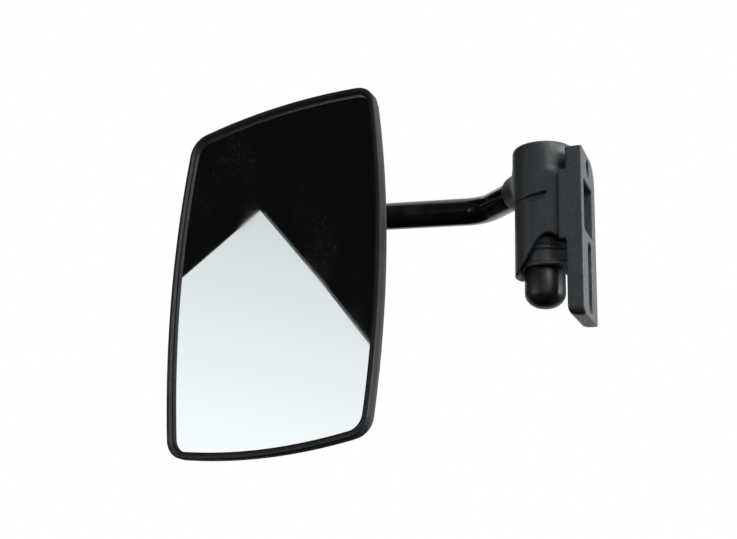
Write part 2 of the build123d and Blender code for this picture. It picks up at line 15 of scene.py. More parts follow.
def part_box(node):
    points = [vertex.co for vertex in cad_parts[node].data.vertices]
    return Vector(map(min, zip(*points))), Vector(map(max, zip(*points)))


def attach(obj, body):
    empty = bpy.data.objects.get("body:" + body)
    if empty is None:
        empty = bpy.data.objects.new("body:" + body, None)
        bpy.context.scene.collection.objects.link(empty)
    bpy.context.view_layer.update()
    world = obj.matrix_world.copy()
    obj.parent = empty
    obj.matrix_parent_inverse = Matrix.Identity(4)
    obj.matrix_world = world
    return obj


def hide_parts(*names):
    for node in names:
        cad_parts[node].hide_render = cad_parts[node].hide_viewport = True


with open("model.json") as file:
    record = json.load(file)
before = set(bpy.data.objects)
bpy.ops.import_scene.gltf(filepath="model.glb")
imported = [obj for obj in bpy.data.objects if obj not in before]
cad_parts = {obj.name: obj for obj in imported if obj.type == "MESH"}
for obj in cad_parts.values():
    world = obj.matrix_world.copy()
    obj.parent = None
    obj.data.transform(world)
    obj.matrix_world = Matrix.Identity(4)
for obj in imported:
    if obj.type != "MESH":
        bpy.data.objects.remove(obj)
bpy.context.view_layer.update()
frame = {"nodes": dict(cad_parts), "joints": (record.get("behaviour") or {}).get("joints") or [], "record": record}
mm = 0.001

# ---- places read from the frame ---------------------------------------------------------------
joints = {joint["name"]: joint for joint in frame["joints"]}
pivot = Vector(joints["arm_fold"]["pos_m"])
ball_centre = Vector(joints["head_tilt"]["pos_m"])
arm_way = -Vector(joints["head_tilt"]["axis"])

# ---- base bracket -----------------------------------------------------------------------------
plate_half_height = 48.8 * mm
plate_half_depth = 21.0 * mm
plate_thick = 9.5 * mm
front_top_corner = 1.5 * mm
front_low_corner = 5.0 * mm
rear_top_corner = 14.0 * mm
rear_low_corner = 2.0 * mm
saddle_front = -13.8 * mm
saddle_low = -6.0 * mm
saddle_high = 35.0 * mm
plate_round = 1.0 * mm
foot_chamfer = 0.9 * mm
foot_round = 2.6 * mm
bolt_radius = 5.0 * mm
bolt_y = -0.8 * mm
bolt_z = 40.9 * mm
slot_half_width = 6.5 * mm
slot_y = -0.3 * mm
slot_low = -45.0 * mm
slot_high = -3.8 * mm
window_half_depth = 14.0 * mm
window_y = -2.3 * mm
window_low = 0.5 * mm
window_high = 30.7 * mm
window_corner = 2.5 * mm
lug_radius = 13.6 * mm
lug_low = -18.2 * mm
lug_high = -4.0 * mm
groove_depth = 0.7 * mm
web_half = 8.9 * mm
lug_lip = 1.4 * mm
lug_lip_half = 9.6 * mm
lug_band_top = 2.4 * mm
lug_band_foot = 4.6 * mm
lug_band_half = 9.9 * mm
lug_foot = 2.6 * mm
lug_neck_blend = 3.0 * mm
lap = 1.0 * mm
gusset_inner = 9.5 * mm
gusset_outer = 12.5 * mm
gusset_reach = 4.5 * mm
gusset_drop = 10.8 * mm
pocket_radius = 11.9 * mm
collar_radius = 13.4 * mm
collar_high = -0.9 * mm
pocket_floor = -7.0 * mm
swing_radius = 22.5 * mm
bush_bore = 7.07 * mm
spigot_radius = 9.9 * mm
spigot_bore = 8.7 * mm
spigot_height = 3.0 * mm

# ---- hub --------------------------------------------------------------------------------------
hub_radius = 18.3 * mm
hub_high = 55.6 * mm
hub_step = 23.0 * mm
step_lean = math.radians(10)
skirt_radius = 17.1 * mm
skirt_low = -22.5 * mm
cavity_radius = 14.2 * mm
cavity_high = 20.0 * mm
flank_radius = 22.0 * mm
flank_front = 17.9 * mm
flank_high = 34.5 * mm
stud_bore = 5.02 * mm
stud_high = 31.5 * mm
boss_height = 36.8 * mm
boss_azimuth = math.radians(136.7)
boss_reach = 30.0 * mm
boss_root_radius = 13.7 * mm
boss_tip_radius = 10.9 * mm
boss_bore = 9.02 * mm
boss_bore_start = 8.0 * mm
notch_across = -1.6 * mm
notch_half_width = 6.25 * mm
notch_drop = 3.4 * mm
notch_cut = 1.3 * mm

# ---- how softly the castings' edges and joins are rounded -----------------------------------------
cast_edge = 0.9 * mm
flat_edge = 1.0 * mm
hub_top_round = 3.6 * mm
skirt_join = 0.5 * mm
skirt_lap = 5.0 * mm
flank_blend = 6.0 * mm
boss_blend = 5.5 * mm
boss_edge = 1.4 * mm
boss_mouth = 0.6 * mm
cavity_round = 1.2 * mm
inner_edge = 0.8 * mm
arch_edge = 1.3 * mm
casting_cell = 0.7 * mm

# ---- arm and cap ------------------------------------------------------------------------------
tube_radius = 9.0 * mm
tube_bore = 7.0 * mm
tube_sides = 64
root_steps = 11
tip_steps = 15
tube_start = 9.0 * mm
bend_reach = 68.5 * mm
bend_radius = 25.0 * mm
tube_end_from_ball = 31.0 * mm
cap_radius = 11.7 * mm
cap_wall = 1.5 * mm
dome_height = 9.0 * mm
dome_fullness = 0.9
dome_steps = 20
dome_tip = 0.02 * mm

# ---- head -------------------------------------------------------------------------------------
head_turn = math.radians(-8.85)
head_tilt = math.radians(-6.45)
head_roll = math.radians(5.07)
head_half_width = 80.4 * mm
head_half_height = 118.7 * mm
side_bulge = 8.2 * mm
end_bulge = 6.2 * mm
head_taper = 0.8 * mm
head_corner = 15.2 * mm
ball_across = 5.0 * mm
ball_above = 51.0 * mm
ball_depth = 45.0 * mm


# ================================================================================ frames
def head_axes():
    """The head's right, up and out: turned about Z, tilted about its right, rolled about its out."""
    turned = Matrix.Rotation(head_turn, 3, "Z")
    right = turned @ Vector((1, 0, 0))
    out = Matrix.Rotation(head_tilt, 3, right) @ turned @ Vector((0, -1, 0))
    right = Matrix.Rotation(head_roll, 3, out) @ right
    return right, out.cross(right), out


head_right, head_up, head_out = head_axes()
head_centre = ball_centre - head_right * ball_across - head_up * ball_above + head_out * ball_depth
boss_way = Vector((math.cos(boss_azimuth), math.sin(boss_azimuth), 0))
boss_root = pivot + Vector((0, 0, boss_height))


def from_head(across, above, depth):
    """Row-frame points from the head's own: across it, up it, and behind the rim's front."""
    axes = np.array([head_right, head_up, -head_out])
    return np.array(head_centre) + np.stack([across, above, depth], -1) @ axes


# ================================================================================ meshes
def new_piece(name, points, faces, body, slot, stands_for):
    """A smooth-shaded mesh of its points and four-sided faces, turned outwards, riding on a body."""
    points = np.asarray(points, float).reshape(-1, 3)
    faces = np.asarray(faces, int)
    a, b, c, d = (points[faces[:, i]] for i in range(4))
    volume = np.einsum("ij,ij->", a, np.cross(b, c)) + np.einsum("ij,ij->", a, np.cross(c, d))
    if volume < 0:
        faces = faces[:, ::-1]
    mesh = bpy.data.meshes.new(name)
    mesh.from_pydata(points.tolist(), [], faces.tolist())
    mesh.validate()
    mesh.shade_smooth()
    mesh.materials.append(finishes[slot])
    piece = bpy.data.objects.new(name, mesh)
    bpy.context.scene.collection.objects.link(piece)
    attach(piece, body)
    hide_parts(*stands_for)


def closed_grid_faces(rows, columns):
    """Faces of a grid that closes on itself both ways."""
    i, j = np.meshgrid(np.arange(rows), np.arange(columns), indexing="ij")
    i_next, j_next = (i + 1) % rows, (j + 1) % columns
    corners = (i * columns + j, i_next * columns + j, i_next * columns + j_next, i * columns + j_next)
    return np.stack([c.ravel() for c in corners], -1)


def rounded_profile(corners, points_per_corner=6):
    """A closed outline through (u, v, radius) corners: each corner is an arc tangent to its two sides."""
    corners = np.array(corners, float)
    outline = []
    for before, here, after in zip(np.roll(corners, 1, 0), corners, np.roll(corners, -1, 0)):
        to_before = before[:2] - here[:2]
        to_after = after[:2] - here[:2]
        to_before /= np.linalg.norm(to_before)
        to_after /= np.linalg.norm(to_after)
        half_angle = math.acos(np.clip(to_before @ to_after, -1, 1)) / 2
        middle = to_before + to_after
        middle /= np.linalg.norm(middle)
        centre = here[:2] + middle * here[2] / math.sin(half_angle)
        start = here[:2] + to_before * here[2] / math.tan(half_angle) - centre
        end = here[:2] + to_after * here[2] / math.tan(half_angle) - centre
        share = np.linspace(0, 1, points_per_corner)[:, None]
        chord = start * (1 - share) + end * share
        outline.append(centre + here[2] * chord / np.linalg.norm(chord, axis=1, keepdims=True))
    return np.concatenate(outline)


# ---- surfaces from fields: a field is negative inside the piece ---------------------------------
def soft_max(a, b, k):
    """The larger of two fields, rounded over a width k: max + (k - |a - b|)^2 / 4k where they are close."""
    near = np.maximum(k - np.abs(a - b), 0)
    return np.maximum(a, b) + near * near / (4 * k)


def soft_min(a, b, k):
    """The smaller of two fields, filleted over a width k."""
    return -soft_max(-a, -b, k)


def slab(value, low, high):
    """Distance outside the band from low to high."""
    return np.maximum(low - value, value - high)


def rounded_box(u, v, half_u, half_v, corner):
    """Distance to a rectangle about the origin with round corners."""
    du = np.abs(u) - (half_u - corner)
    dv = np.abs(v) - (half_v - corner)
    return np.hypot(np.maximum(du, 0), np.maximum(dv, 0)) + np.minimum(np.maximum(du, dv), 0) - corner


def surface_of(field, low, high, cell):
    """Points and faces of the closed surface where field(x, y, z) is zero, within a box.

    One point lies in each cube of the grid that the surface crosses, at the mean of its edge crossings, and
    one face stands across each grid edge that it crosses. Three steps down the gradient put them on it.
    """
    axes = [np.arange(a - 2 * cell, b + 2 * cell, cell) for a, b in zip(low, high)]
    value = field(*np.meshgrid(*axes, indexing="ij"))
    inside = value < 0
    corners = np.array([(i, j, k) for i in (0, 1) for j in (0, 1) for k in (0, 1)])
    count = sum(
        inside[i:inside.shape[0] - 1 + i, j:inside.shape[1] - 1 + j, k:inside.shape[2] - 1 + k].astype(int)
        for i, j, k in corners
    )
    cubes = np.argwhere((count > 0) & (count < 8))
    at = cubes[:, None, :] + corners[None]
    v = value[at[..., 0], at[..., 1], at[..., 2]]
    total = np.zeros((len(cubes), 3))
    crossings = np.zeros((len(cubes), 1))
    for p in range(8):
        for q in range(p + 1, 8):
            if np.abs(corners[p] - corners[q]).sum() == 1:
                crosses = (v[:, p] < 0) != (v[:, q] < 0)
                share = np.where(crosses, v[:, p] / np.where(crosses, v[:, p] - v[:, q], 1), 0)[:, None]
                total += crosses[:, None] * (corners[p] + share * (corners[q] - corners[p]))
                crossings += crosses[:, None]
    points = np.array([a[0] for a in axes]) + (cubes + total / crossings) * cell
    number = np.full(count.shape, -1)
    number[tuple(cubes.T)] = np.arange(len(cubes))
    faces = []
    for axis in range(3):
        ahead = np.roll(inside, -1, axis)
        edges = np.argwhere(inside != ahead)
        side_a, side_b = np.eye(3, dtype=int)[[(axis + 1) % 3, (axis + 2) % 3]]
        ring = [edges, edges - side_a, edges - side_a - side_b, edges - side_b]
        quad = np.stack([number[tuple(r.T)] for r in ring], -1)
        entering = ahead[tuple(edges.T)]
        quad[entering] = quad[entering][:, ::-1]
        faces.append(quad)
    step = cell / 20
    for _ in range(3):
        here = field(*points.T)
        slope = np.stack(
            [
                (field(*(points + e).T) - field(*(points - e).T)) / (2 * step)
                for e in np.eye(3) * step
            ],
            -1,
        )
        move = here[:, None] * slope / np.maximum((slope**2).sum(1, keepdims=True), 0.2)
        points = points - np.clip(move, -cell / 2, cell / 2)
    return points, np.concatenate(faces)


# ================================================================================ finishes
ramp_ends = ("From Min", "From Max", "To Min", "To Max")


class Finish:
    """A node material being put together: constants sit on the shader, textures are wired to it."""

    def __init__(self, name, **constants):
        self.material = bpy.data.materials.new(name)
        self.material.use_nodes = True
        self.tree = self.material.node_tree
        self.shader = self.tree.nodes["Principled BSDF"]
        for socket, value in constants.items():
            self.shader.inputs[socket.replace("_", " ")].default_value = value
        self.place = self.add("ShaderNodeTexCoord").outputs["Object"]

    def add(self, kind, settings=(), **inputs):
        """A node with its settings, and its inputs set to a number or wired to a socket."""
        node = self.tree.nodes.new(kind)
        for key, value in dict(settings).items():
            setattr(node, key, value)
        for key, value in inputs.items():
            self.wire(node.inputs[key.replace("_", " ")], value)
        return node

    def wire(self, socket, value):
        """Set a socket to a constant, or wire it to another node's output."""
        if isinstance(value, bpy.types.NodeSocket):
            self.tree.links.new(value, socket)
        else:
            socket.default_value = value

    def stretched(self, scale, turn=(0, 0, 0)):
        """Object coordinates scaled and turned, for grain that runs one way."""
        return self.add("ShaderNodeMapping", Vector=self.place, Scale=scale, Rotation=turn).outputs[0]

    def noise(self, size, detail=3.0, where=None):
        """Noise with features of about a size in metres, from 0 to 1."""
        node = self.add(
            "ShaderNodeTexNoise",
            Vector=where or self.place,
            Scale=1 / size,
            Detail=detail,
        )
        return node.outputs["Fac"]

    def cells(self, size):
        """Rounded pebbles of about a size in metres: the distance to the nearest of scattered points."""
        node = self.add("ShaderNodeTexVoronoi", {"feature": "SMOOTH_F1"}, Vector=self.place, Scale=1 / size)
        return node.outputs["Distance"]

    def between(self, value, from_low, from_high, low, high):
        """A value's range carried onto another, clamped."""
        node = self.add("ShaderNodeMapRange", Value=value)
        for key, number in zip(ramp_ends, (from_low, from_high, low, high)):
            node.inputs[key].default_value = number
        return node.outputs[0]

    def tint(self, value, *stops):
        """A colour ramp over a value: (position, grey or colour) stops."""
        ramp = self.add("ShaderNodeValToRGB", Fac=value)
        elements = ramp.color_ramp.elements
        while len(elements) < len(stops):
            elements.new(0.5)
        for element, (position, colour) in zip(elements, stops):
            element.position = position
            element.color = (*colour, 1)
        return ramp.outputs[0]

    def bump(self, height, distance, strength=1.0, below=None):
        """Shading relief of a height texture, on top of another bump."""
        node = self.add("ShaderNodeBump", Height=height, Strength=strength, Distance=distance)
        if below is not None:
            self.wire(node.inputs["Normal"], below)
        return node.outputs[0]

    def set(self, **sockets):
        """Wire textures to the shader."""
        for key, value in sockets.items():
            self.wire(self.shader.inputs[key.replace("_", " ")], value)
        return self.material


def cast_finish():
    """Matt powder coat over a casting: orange-peel skin, fine grit, slightly uneven slate tone."""
    f = Finish("cast_black", Specular_IOR_Level=0.5)
    patches = f.noise(14 * mm, 4)
    grit = f.noise(0.35 * mm, 2)
    skin = f.noise(2.2 * mm, 3)
    colour = f.tint(patches, (0.3, (0.019, 0.0235, 0.027)), (0.7, (0.027, 0.033, 0.0375)))
    return f.set(
        Base_Color=colour,
        Roughness=f.between(skin, 0.3, 0.7, 0.40, 0.56),
        Normal=f.bump(grit, 0.10 * mm, 0.5, f.bump(skin, 0.25 * mm, 0.6)),
    )


def tube_finish():
    """Gloss black enamel: deep black under a clear, very slightly rippled coat."""
    f = Finish("tube_paint", Coat_Weight=0.25, Coat_Roughness=0.08)
    ripple = f.noise(3.0 * mm, 2)
    dust = f.noise(9.0 * mm, 5)
    return f.set(
        Base_Color=f.tint(dust, (0.35, (0.004, 0.004, 0.0045)), (0.75, (0.008, 0.008, 0.0085))),
        Roughness=f.between(dust, 0.35, 0.7, 0.16, 0.26),
        Normal=f.bump(ripple, 0.06 * mm, 0.5),
    )


def rim_finish():
    """Satin black rubber: fine even grain, a faint bloom."""
    f = Finish("rim_rubber", Specular_IOR_Level=0.18)
    bloom = f.noise(18 * mm, 5)
    grain = f.noise(0.30 * mm, 2)
    flow = f.noise(4.0 * mm, 3)
    return f.set(
        Base_Color=f.tint(bloom, (0.3, (0.011, 0.0125, 0.0135)), (0.75, (0.018, 0.020, 0.021))),
        Roughness=f.between(flow, 0.3, 0.7, 0.38, 0.50),
        Normal=f.bump(grain, 0.06 * mm, 0.5, f.bump(flow, 0.12 * mm, 0.35)),
    )


def shell_finish():
    """Moulded plastic with a fine leather-like tool grain."""
    f = Finish("shell_plastic", Specular_IOR_Level=0.5)
    grain = f.cells(0.9 * mm)
    fine = f.noise(0.35 * mm, 2)
    patches = f.noise(25 * mm, 4)
    return f.set(
        Base_Color=f.tint(patches, (0.3, (0.013, 0.014, 0.015)), (0.75, (0.020, 0.021, 0.022))),
        Roughness=f.between(grain, 0.1, 0.7, 0.42, 0.56),
        Normal=f.bump(fine, 0.05 * mm, 0.4, f.bump(grain, 0.12 * mm, 0.6)),
    )


def cap_finish():
    """Satin moulded plastic, nearly smooth."""
    f = Finish("cap_plastic", Specular_IOR_Level=0.4)
    haze = f.noise(5 * mm, 4)
    grain = f.noise(0.4 * mm, 2)
    return f.set(
        Base_Color=f.tint(haze, (0.3, (0.008, 0.009, 0.0095)), (0.75, (0.014, 0.015, 0.016))),
        Roughness=f.between(haze, 0.3, 0.7, 0.36, 0.46),
        Normal=f.bump(grain, 0.05 * mm, 0.4),
    )


def plain_moulding(name, dark, light, roughness, size):
    """Ordinary moulded plastic, rubber or foam: mottled tone between two colours and a grain of one size."""
    f = Finish(name, Specular_IOR_Level=0.45)
    tone = f.noise(12 * mm, 4)
    grain = f.cells(size)
    return f.set(
        Base_Color=f.tint(tone, (0.3, dark), (0.7, light)),
        Roughness=f.between(grain, 0.1, 0.7, roughness - 0.06, roughness + 0.06),
        Normal=f.bump(grain, size / 6, 0.6),
    )


def metal_finish(name, dark, light, roughness, grain_size):
    """Bare or plated metal: cloudy tone, rolled grain and fine pitting."""
    f = Finish(name, Metallic=1.0)
    cloud = f.noise(3.5 * mm, 5)
    rolled = f.noise(grain_size, 3, f.stretched((1, 1, 6)))
    pits = f.noise(0.25 * mm, 2)
    return f.set(
        Base_Color=f.tint(cloud, (0.3, dark), (0.7, light)),
        Roughness=f.between(rolled, 0.3, 0.7, roughness - 0.08, roughness + 0.1),
        Normal=f.bump(pits, 0.04 * mm, 0.4, f.bump(rolled, 0.05 * mm, 0.4)),
    )


def mirror_finish():
    """Silvered glass: a clean mirror with thin streaks of dust and wiped smudges."""
    f = Finish("mirror_face", Base_Color=(0.9, 0.93, 0.935, 1))
    wiped = f.noise(38 * mm, 6, f.stretched((1, 1, 0.45), (0, math.radians(38), 0)))
    speckle = f.noise(1.6 * mm, 3)
    smudge = f.between(wiped, 0.52, 0.75, 0.0, 1.0)
    dust = f.between(speckle, 0.55, 0.8, 0.0, 1.0)
    film = f.add("ShaderNodeMath", {"operation": "MULTIPLY"})
    f.wire(film.inputs[0], smudge)
    f.wire(film.inputs[1], dust)
    return f.set(
        Metallic=f.between(film.outputs[0], 0.0, 1.0, 1.0, 0.93),
        Roughness=f.between(smudge, 0.0, 1.0, 0.015, 0.05),
    )


finishes = {
    "cast_black": cast_finish(),
    "tube_paint": tube_finish(),
    "rim_rubber": rim_finish(),
    "shell_plastic": shell_finish(),
    "cap_plastic": cap_finish(),
    "mirror_face": mirror_finish(),
    "bronze": metal_finish("bronze", (0.42, 0.27, 0.11), (0.58, 0.40, 0.19), 0.42, 0.6 * mm),
    "zinc_steel": metal_finish("zinc_steel", (0.50, 0.50, 0.47), (0.66, 0.66, 0.63), 0.34, 0.8 * mm),
    "spring_steel": metal_finish("spring_steel", (0.16, 0.16, 0.17), (0.27, 0.27, 0.28), 0.36, 0.6 * mm),
    "seat_nylon": plain_moulding("seat_nylon", (0.66, 0.64, 0.57), (0.74, 0.72, 0.66), 0.45, 0.5 * mm),
    "socket_plastic": plain_moulding(
        "socket_plastic", (0.014, 0.015, 0.016), (0.021, 0.022, 0.023), 0.46, 0.6 * mm
    ),
    "gasket_rubber": plain_moulding(
        "gasket_rubber", (0.010, 0.010, 0.010), (0.018, 0.018, 0.018), 0.62, 0.4 * mm
    ),
    "backing_plastic": plain_moulding(
        "backing_plastic", (0.030, 0.030, 0.031), (0.045, 0.045, 0.046), 0.50, 0.8 * mm
    ),
    "foam_black": plain_moulding("foam_black", (0.020, 0.020, 0.020), (0.035, 0.035, 0.035), 0.85, 0.7 * mm),
}
for row in frame["record"]["subparts"]:
    node = frame["nodes"][row["node"]]
    node.data.materials.clear()
    node.data.materials.append(finishes[row["material_slot"]])


# ================================================================================ castings
def above_step(x, z):
    """Distance above the hub's step, which drops away from the bracket."""
    return (z - hub_step) * math.cos(step_lean) - x * math.sin(step_lean)


def hub_field(x, y, z):
    """The hub: stepped round body, flat flank and tapered boss, less its cavity, bores, arch and notch."""
    x = x - pivot.x
    y = y - pivot.y
    radial = np.hypot(x, y)
    along = x * boss_way.x + y * boss_way.y
    across = y * boss_way.x - x * boss_way.y
    off_boss = np.hypot(across, z - boss_height)
    body = soft_max(radial - hub_radius, z - hub_high, hub_top_round)
    body = soft_max(body, -above_step(x, z), cast_edge)
    skirt = soft_max(radial - skirt_radius, slab(z, skirt_low, hub_high - skirt_lap), cast_edge)
    flank = soft_max(radial - flank_radius, np.abs(y) - flank_front, flat_edge)
    flank = soft_max(flank, slab(z, saddle_low, flank_high), cast_edge)
    flank = soft_max(flank, -x, flat_edge)
    taper = boss_root_radius + (boss_tip_radius - boss_root_radius) * along / boss_reach
    boss = soft_max(off_boss - taper, slab(along, 0, boss_reach), boss_edge)
    solid = soft_min(soft_min(body, skirt, skirt_join), flank, flank_blend)
    solid = soft_max(solid, np.abs(y) - hub_radius, flat_edge)
    solid = soft_min(solid, boss, boss_blend)
    cavity = soft_max(radial - cavity_radius, z - cavity_high, cavity_round)
    bore = np.maximum(radial - stud_bore, z - stud_high)
    tube_seat = soft_max(off_boss - boss_bore, boss_bore_start - along, boss_mouth)
    hollows = np.minimum.reduce([cavity, bore, tube_seat, notch_field(x, y, z)])
    solid = soft_max(solid, -hollows, inner_edge)
    return soft_max(solid, -arch_field(x, z), arch_edge)


def beyond(u, v, start, end):
    """Distance to the left of the line from start to end."""
    run = np.hypot(end[0] - start[0], end[1] - start[1])
    return ((v - start[1]) * (end[0] - start[0]) - (u - start[0]) * (end[1] - start[1])) / run


def arch_field(x, z):
    """The skirt's cut-out: slants in from its foot, arches to a crown, then runs level to the bracket."""
    toe = (-15.0 * mm, -23.5 * mm)
    heel = (-9.6 * mm, -17.6 * mm)
    knee = (-3.6 * mm, -7.4 * mm)
    shoulder = (1.8 * mm, -1.6 * mm)
    crown = (6.5 * mm, -0.4 * mm)
    rest = (12.0 * mm, -3.4 * mm)
    arch = soft_max(beyond(x, z, heel, knee), beyond(x, z, knee, shoulder), 2.0 * mm)
    arch = soft_max(arch, beyond(x, z, shoulder, crown), 2.0 * mm)
    arch = soft_max(arch, beyond(x, z, crown, rest), 1.6 * mm)
    foot = soft_max(beyond(x, z, toe, heel), z - heel[1], 0.4 * mm)
    level = soft_max(z - rest[1], crown[0] - x, 1.0 * mm)
    return soft_min(soft_min(arch, foot, 2.0 * mm), level, 1.6 * mm)


def notch_field(x, y, z):
    """The crescent under the step, on the front: a disc laid flat, cut off along the step."""
    radius = (notch_half_width**2 + notch_drop**2) / (2 * notch_drop)
    disc = np.hypot(x - notch_across, z - (hub_step - notch_drop + radius)) - radius
    return np.maximum(np.maximum(disc, above_step(x, z)), y + skirt_radius - notch_cut)


def lug_layer(radial, x, y, z, low, high, radius, half_width):
    """One flat layer of the lug: a disc about the pivot and a neck back into the plate."""
    neck = soft_max(np.abs(y) - half_width, np.maximum(pivot.x - x, x + plate_thick / 2), 0.4 * mm)
    return soft_max(soft_min(radial - radius, neck, lug_neck_blend), slab(z, low, high), cast_edge)


def bracket_field(x, y, z):
    """The bracket: plate, saddle, grooved lug, gussets and collars, less the hub's sweep and its openings."""
    top = np.where(y > 0, rear_top_corner, front_top_corner)
    low = np.where(y > 0, rear_low_corner, front_low_corner)
    outline = rounded_box(y, z, plate_half_depth, plate_half_height, np.where(z > 0, top, low))
    plate = soft_max(outline, slab(x, -plate_thick, 0), plate_round)
    front_low = (-(x + plate_thick) - (z + plate_half_height)) / math.sqrt(2)
    plate = soft_max(plate, front_low + foot_chamfer, foot_round)
    saddle = soft_max(np.abs(y) - plate_half_depth, slab(z, saddle_low, saddle_high), plate_round)
    saddle = soft_max(saddle, slab(x, saddle_front, -plate_thick / 2), plate_round)
    radial = np.hypot(x - pivot.x, y - pivot.y)
    sweep = np.maximum(radial - swing_radius, saddle_low - z)
    solid = soft_max(soft_min(plate, saddle, plate_round), -sweep, inner_edge)
    layers = (
        (lug_low, lug_high, lug_radius - groove_depth, web_half),
        (lug_high - lug_lip, lug_high, lug_radius, lug_lip_half),
        (lug_high - lug_band_foot, lug_high - lug_band_top, lug_radius, lug_band_half),
        (lug_low, lug_low + lug_foot, lug_radius, gusset_outer),
    )
    lug = np.minimum.reduce([lug_layer(radial, x, y, z, *layer) for layer in layers])
    toe = (-plate_thick - gusset_reach, lug_low)
    tail = (-plate_thick, lug_low - gusset_drop)
    gusset = np.maximum(-beyond(x, z, toe, tail), np.maximum(z - lug_low - lap, x + plate_thick / 2))
    gusset = soft_max(gusset, slab(np.abs(y), gusset_inner, gusset_outer), 0.8 * mm)
    solid = soft_min(soft_min(solid, lug, 1.6 * mm), gusset, 1.2 * mm)
    wall = np.abs(radial - (spigot_radius + spigot_bore) / 2) - (spigot_radius - spigot_bore) / 2
    solid = np.minimum(solid, np.maximum(wall, slab(z, lug_low - spigot_height, lug_low + lap)))
    collar = np.abs(radial - (pocket_radius + collar_radius) / 2) - (collar_radius - pocket_radius) / 2
    collar = soft_max(collar, slab(z, lug_high - lap, collar_high), 0.4 * mm)
    solid = soft_min(solid, collar, 0.5 * mm)
    bolt = np.hypot(y - bolt_y, z - bolt_z) - bolt_radius
    slot_reach = (slot_high - slot_low) / 2 - slot_half_width
    slot_z = z - (slot_high + slot_low) / 2
    slot = np.hypot(y - slot_y, np.maximum(np.abs(slot_z) - slot_reach, 0)) - slot_half_width
    window_z = z - (window_low + window_high) / 2
    window_half_height = (window_high - window_low) / 2
    window = rounded_box(y - window_y, window_z, window_half_depth, window_half_height, window_corner)
    openings = np.maximum(np.minimum.reduce([bolt, slot, window]), -plate_thick - x)
    solid = soft_max(solid, -openings, cast_edge)
    pocket = np.maximum(radial - pocket_radius, pocket_floor - z)
    return soft_max(solid, -np.minimum(radial - bush_bore, pocket), 0.5 * mm)


def casting(name, field, body):
    """A casting with its field's shape, in place of the CAD node of the same name."""
    low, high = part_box(name)
    points, faces = surface_of(field, low, high, casting_cell)
    points = np.clip(points, np.array(low), np.array(high))
    new_piece(f"{name}_casting", points, faces, body, "cast_black", [name])


casting("hub_housing", hub_field, "arm")
casting("base_bracket", bracket_field, "base")


# ================================================================================ arm tube and cap
def tube_path(spacing):
    """Points and level side vectors along the tube: a straight run, one arc at the bend, a straight run."""
    start = np.array((boss_root + boss_way * tube_start)[:2])
    corner = np.array((boss_root + boss_way * bend_reach)[:2])
    end = np.array((ball_centre + arm_way * -tube_end_from_ball)[:2])
    first, last = np.array(boss_way[:2]), np.array(arm_way[:2])
    turn = math.atan2(first[0] * last[1] - first[1] * last[0], first @ last)
    tangent = bend_radius * math.tan(abs(turn) / 2)
    normal = np.array([-first[1], first[0]]) * np.sign(turn)
    centre = corner - first * tangent + normal * bend_radius
    steps = int(bend_radius * abs(turn) / spacing)
    swing = np.linspace(0, turn, steps + 1)
    spoke = -normal[:, None]
    arc = centre[:, None] + bend_radius * np.array(
        [
            spoke[0] * np.cos(swing) - spoke[1] * np.sin(swing),
            spoke[0] * np.sin(swing) + spoke[1] * np.cos(swing),
        ]
    )
    heading = math.atan2(first[1], first[0]) + swing
    root_run = np.linspace(start, arc[:, 0], root_steps + 1)[:-1]
    tip_run = np.linspace(arc[:, -1], end, tip_steps + 1)[1:]
    headings = np.concatenate([np.full(root_steps, heading[0]), heading, np.full(tip_steps, heading[-1])])
    sides = np.stack([-np.sin(headings), np.cos(headings)], -1)
    return np.concatenate([root_run, arc.T, tip_run]), sides


def arm_tube():
    """A bent tube: its outer skin from end to end, a flat ring at each mouth, and the bore's skin back."""
    path, sides = tube_path(1.5 * mm)
    count = len(path)
    order = np.concatenate([np.arange(count), np.arange(count)[::-1]])
    radius = np.concatenate([np.full(count, tube_radius), np.full(count, tube_bore)])
    angle = np.linspace(0, 2 * math.pi, tube_sides, endpoint=False)
    ring_side = np.cos(angle)[None, :] * radius[:, None]
    ring_up = np.sin(angle)[None, :] * radius[:, None]
    plan = path[order][:, None, :] + sides[order][:, None, :] * ring_side[..., None]
    points = np.concatenate([plan, (boss_height + ring_up)[..., None]], -1)
    faces = closed_grid_faces(2 * count, len(angle))
    new_piece("arm_tube_bent", points, faces, "arm", "tube_paint", ["arm_tube"])


arm_tube()


def turned_piece(name, profile, body, slot, node, count=96):
    """A closed (radius, height) profile turned about the fold pivot."""
    angle = np.linspace(0, 2 * math.pi, count, endpoint=False)[:, None]
    radius, height = profile[None, :, 0], profile[None, :, 1]
    points = np.stack(
        [
            pivot.x + radius * np.cos(angle),
            pivot.y + radius * np.sin(angle),
            height + 0 * angle,
        ],
        -1,
    )
    faces = closed_grid_faces(count, profile.shape[0])
    new_piece(name, points, faces, body, slot, [node])


def dome_cap():
    """A round-ended cup: its outer wall ends in a dome, and its inner wall lies a wall's thickness in."""
    low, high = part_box("dome_cap")
    brim = high.z
    share = np.linspace(0, math.pi / 2, dome_steps)[::-1]
    outer_r = np.maximum(cap_radius * np.cos(share) ** dome_fullness, dome_tip)
    outer_z = low.z + dome_height - dome_height * np.sin(share)
    inner = cap_radius - cap_wall
    inner_r = np.maximum(inner * np.cos(share) ** dome_fullness, dome_tip)
    inner_z = low.z + dome_height - (dome_height - cap_wall) * np.sin(share)
    brim_corners = [
        (cap_radius, brim - 0.5 * mm),
        (cap_radius - 0.4 * mm, brim),
        (inner + 0.3 * mm, brim),
        (inner, brim - 0.4 * mm),
    ]
    profile = np.concatenate(
        [
            np.stack([outer_r, outer_z], -1),
            brim_corners,
            np.stack([inner_r, inner_z], -1)[::-1],
        ]
    )
    turned_piece("pivot_cap", profile, "base", "cap_plastic", "dome_cap")


dome_cap()


